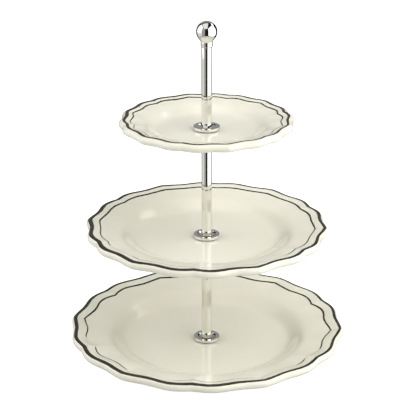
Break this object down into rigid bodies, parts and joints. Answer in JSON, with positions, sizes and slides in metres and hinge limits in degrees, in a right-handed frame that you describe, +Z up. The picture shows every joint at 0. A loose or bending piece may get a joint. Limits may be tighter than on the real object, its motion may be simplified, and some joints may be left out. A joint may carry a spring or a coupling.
{
  "type": "tiered cake stand",
  "caption": "Stand of three scalloped ceramic plates, largest at the bottom, on a polished screwed stem with dished washers and a ball finial as the handle.",
  "frame": {"origin": "on the surface the stand rests on, under the middle of the stem", "axes": "+Z up along the stem, +X to the right and -Y towards the viewer"},
  "size_m": [0.2776, 0.2768, 0.3431],
  "materials": {
    "faience_glaze": "glossy cream glaze with a hand-painted dark brown line along the rim and a finer one inside it",
    "polished_stem": "mirror polished",
    "plain_steel": "plain turned",
    "clear_vinyl": "clear, smooth"
  },
  "bodies": {
    "base": {"bottom_plate": "faience_glaze", "bottom_plate_lower_gasket": "clear_vinyl", "bottom_plate_upper_gasket": "clear_vinyl"},
    "stem": {"lower_rod": "polished_stem", "bottom_dish_washer": "polished_stem", "foot_screw": "plain_steel", "foot_washer": "plain_steel", "lower_joining_stud": "plain_steel", "middle_under_washer": "plain_steel"},
    "middle_tray": {"middle_plate": "faience_glaze", "middle_plate_lower_gasket": "clear_vinyl", "middle_plate_upper_gasket": "clear_vinyl"},
    "middle_seat": {"middle_dish_washer": "polished_stem"},
    "middle_column": {"middle_rod": "polished_stem", "upper_joining_stud": "plain_steel", "top_under_washer": "plain_steel"},
    "top_tray": {"top_plate": "faience_glaze", "top_plate_lower_gasket": "clear_vinyl", "top_plate_upper_gasket": "clear_vinyl"},
    "top_seat": {"top_dish_washer": "polished_stem"},
    "handle": {"upper_rod": "polished_stem"},
    "finial_core": {"finial_stud": "plain_steel"},
    "finial_knob": {"finial": "polished_stem"}
  },
  "joints": [
    {"name": "stem_turn", "type": "hinge", "parent": "base", "child": "stem", "pos_m": [0, 0, 0.0095], "axis": [0, 0, 1], "continuous": true},
    {"name": "middle_plate_turn", "type": "hinge", "parent": "stem", "child": "middle_tray", "pos_m": [0, 0, 0.1225], "axis": [0, 0, 1], "continuous": true},
    {"name": "middle_rod_rise", "type": "slide", "parent": "stem", "child": "middle_seat", "axis": [0, 0, 1], "range_m": [0, 0.008]},
    {"name": "middle_rod_unscrew", "type": "hinge", "parent": "middle_seat", "child": "middle_column", "pos_m": [0, 0, 0.1247], "axis": [0, 0, 1], "range_deg": [0, 2880]},
    {"name": "top_plate_turn", "type": "hinge", "parent": "middle_column", "child": "top_tray", "pos_m": [0, 0, 0.2355], "axis": [0, 0, 1], "continuous": true},
    {"name": "upper_rod_rise", "type": "slide", "parent": "middle_column", "child": "top_seat", "axis": [0, 0, 1], "range_m": [0, 0.008]},
    {"name": "upper_rod_unscrew", "type": "hinge", "parent": "top_seat", "child": "handle", "pos_m": [0, 0, 0.2377], "axis": [0, 0, 1], "range_deg": [0, 2880]},
    {"name": "finial_rise", "type": "slide", "parent": "handle", "child": "finial_core", "axis": [0, 0, 1], "range_m": [0, 0.008]},
    {"name": "finial_unscrew", "type": "hinge", "parent": "finial_core", "child": "finial_knob", "pos_m": [0, 0, 0.3183], "axis": [0, 0, 1], "range_deg": [0, 2880]}
  ],
  "couplings": [
    {"joint": "middle_rod_unscrew", "follows": "middle_rod_rise", "rad_per_m": 6283},
    {"joint": "upper_rod_unscrew", "follows": "upper_rod_rise", "rad_per_m": 6283},
    {"joint": "finial_unscrew", "follows": "finial_rise", "rad_per_m": 6283}
  ]
}
